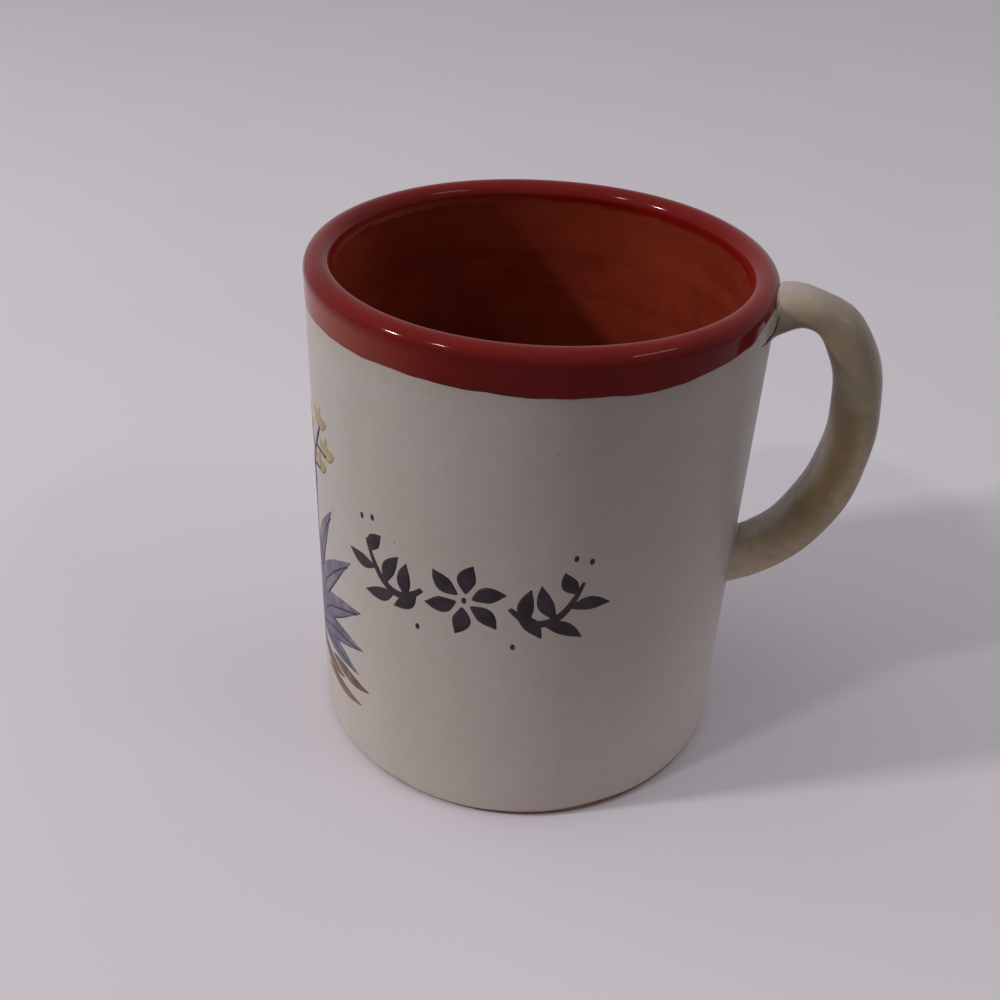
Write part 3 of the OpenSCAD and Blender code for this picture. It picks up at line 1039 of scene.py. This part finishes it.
def make_agave():
    """A flowering agave on broken ground, on the side away from the handle."""
    blades, lines = [leaf(*AGAVE_HEART)], []
    for way, length, half in AGAVE_FAN:
        c, s = math.cos(math.radians(way)), math.sin(math.radians(way))
        start = (FAN_SPREAD[0] * c, FAN_UP + FAN_SPREAD[1] * s)
        blades.append(leaf(*start, way, length, half))
        rib = leaf(*start, way, length * RIB_SHARE, half)
        lines.append([(along, up, RIB_HALF) for along, up, _ in rib])
    lines.append(AGAVE_STALK)
    buds = []
    for share, along, up in AGAVE_TWIGS:
        foot = stem_point(AGAVE_STALK, share)[:2]
        lines.append([(*foot, TWIG_HALVES[0]), (along, up, TWIG_HALVES[1])])
        buds += [leaf(along, up - BUD_DROP, way, BUD_LENGTH, BUD_HALF) for way in BUD_WAYS]
    ground = [ground_stroke(*stroke) for stroke in AGAVE_GROUND]
    brush("agave_blades", blades, AGAVE_ANGLE, BLADE_INK_T, BLUE_INK)
    brush("agave_lines", lines, AGAVE_ANGLE, LINE_INK_T, DARK_INK)
    brush("agave_blossoms", buds, AGAVE_ANGLE, BUD_INK_T, STRAW_INK)
    brush("agave_ground", ground, AGAVE_ANGLE, GROUND_INK_T, BROWN_INK)


make_clay_body()
make_cream_coat()
make_red_coat()
make_lining_coat()
make_handle_coat()
make_joint_hairline()
make_leaf_spray()
make_agave()

for node, material in (("clay_handle", STRAP_CLAY), ("upper_joint_slip", SLIP), ("lower_joint_slip", SLIP)):
    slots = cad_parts[node].data.materials
    slots.clear()
    slots.append(material)

# Floor: its size, its pale paper, and what it throws back on the mug, which fades with distance
FLOOR_SIZE = 12
PAPER_DARK = srgb(203, 197, 204)
PAPER_LIGHT = srgb(205, 199, 206)
BOUNCE_NEAR = srgb(216, 204, 200)
BOUNCE_FAR = srgb(60, 55, 54)
BOUNCE_FADE = (85 * MM, 220 * MM)


def floor_finish():
    """Pale paper to look at, which throws less light back on the mug the farther it lies."""
    f = Finish("pale_floor", {"Roughness": 0.9, "Specular IOR Level": 0.2})
    paper = f.noise(9).clear(0.3, 0.7).mix(PAPER_DARK, PAPER_LIGHT)
    bounce = f.length(f.place).clear(*BOUNCE_FADE).mix(BOUNCE_NEAR, BOUNCE_FAR)
    return f.feed(Base_Color=f.tone.shown().mix(bounce, paper))


def make_floor():
    bpy.ops.object.select_all(action="DESELECT")
    bpy.ops.mesh.primitive_plane_add(size=FLOOR_SIZE)
    floor = bpy.context.object
    floor.name = "pale_floor"
    floor.data.materials.append(floor_finish())


# Pale surfaces of the room that light the mug softly: azimuth, elevation and brightness of each
ROOM = (
    (0, 90, 0.57), (-150, 55, 0.37), (150, 40, 0.31), (180, 20, 0.63), (67, 15, 0.78), (20, 20, 0.74),
)
ROOM_EDGE = math.cos(math.radians(45))
ROOM_CORE = math.cos(math.radians(8))
ROOM_DIM = 0.01
ROOM_TINT = (1.0, 0.994, 1.01)
BACKDROP = srgb(196, 191, 196)

# Lamps: where they are aimed, and the azimuth, elevation, distance, size, watts and colour of each
LAMP_AIM = Vector((0, 0, 60 * MM))
WARM_WHITE = (1.0, 0.98, 0.96)
COOL_WHITE = (0.97, 0.94, 1.0)
LAMPS = {
    "left_lamp": (-150.8, 33, 1.2, (0.09, 0.08), 5.9, WARM_WHITE),
    "front_left_lamp": (-129.3, 44.8, 1.2, (0.08, 0.06), 2.1, WARM_WHITE),
    "right_lamp": (-10, 45, 1.4, (0.5, 0.06), 1.6, COOL_WHITE),
}


def direction(azimuth_deg, elevation_deg):
    """The way from the mug towards a place in the room."""
    a, e = math.radians(azimuth_deg), math.radians(elevation_deg)
    return Vector((math.cos(e) * math.cos(a), math.cos(e) * math.sin(a), math.sin(e)))


def add_lamp(name, azimuth_deg, elevation_deg, distance, size, watts, colour):
    """A small bright panel that faces the mug."""
    toward = direction(azimuth_deg, elevation_deg)
    bpy.ops.object.light_add(type="AREA", location=LAMP_AIM + toward * distance)
    lamp = bpy.context.object
    lamp.name = lamp.data.name = name
    lamp.rotation_euler = toward.to_track_quat("Z", "Y").to_euler()
    lamp.data.shape = "RECTANGLE"
    lamp.data.size, lamp.data.size_y = size
    lamp.data.energy = watts
    lamp.data.color = colour


def light_room():
    """Soft light from the room's pale surfaces, which are seen as one plain backdrop, and the lamps."""
    world = bpy.data.worlds.new("soft_room")
    bpy.context.scene.world = world
    world.use_nodes = True
    tree = world.node_tree
    tree.nodes.clear()
    t = Tone(tree)
    way = t.node("ShaderNodeTexCoord", out=0)
    level = ROOM_DIM
    for azimuth_deg, elevation_deg, bright in ROOM:
        middle = direction(azimuth_deg, elevation_deg)
        near = t.node("ShaderNodeVectorMath", {0: way, 1: middle}, out=1, operation="DOT_PRODUCT")
        level = near.clear(ROOM_EDGE, ROOM_CORE) * bright + level
    light = t.node("ShaderNodeVectorMath", {0: ROOM_TINT, 3: level}, operation="SCALE")
    back = t.node("ShaderNodeBackground", {"Color": t.shown().mix(light, BACKDROP), "Strength": 1.0})
    output = tree.nodes.new("ShaderNodeOutputWorld")
    tree.links.new(back.socket, output.inputs["Surface"])
    for name, lamp in LAMPS.items():
        add_lamp(name, *lamp)
    bpy.context.scene.view_settings.view_transform = "Standard"


make_floor()
light_room()
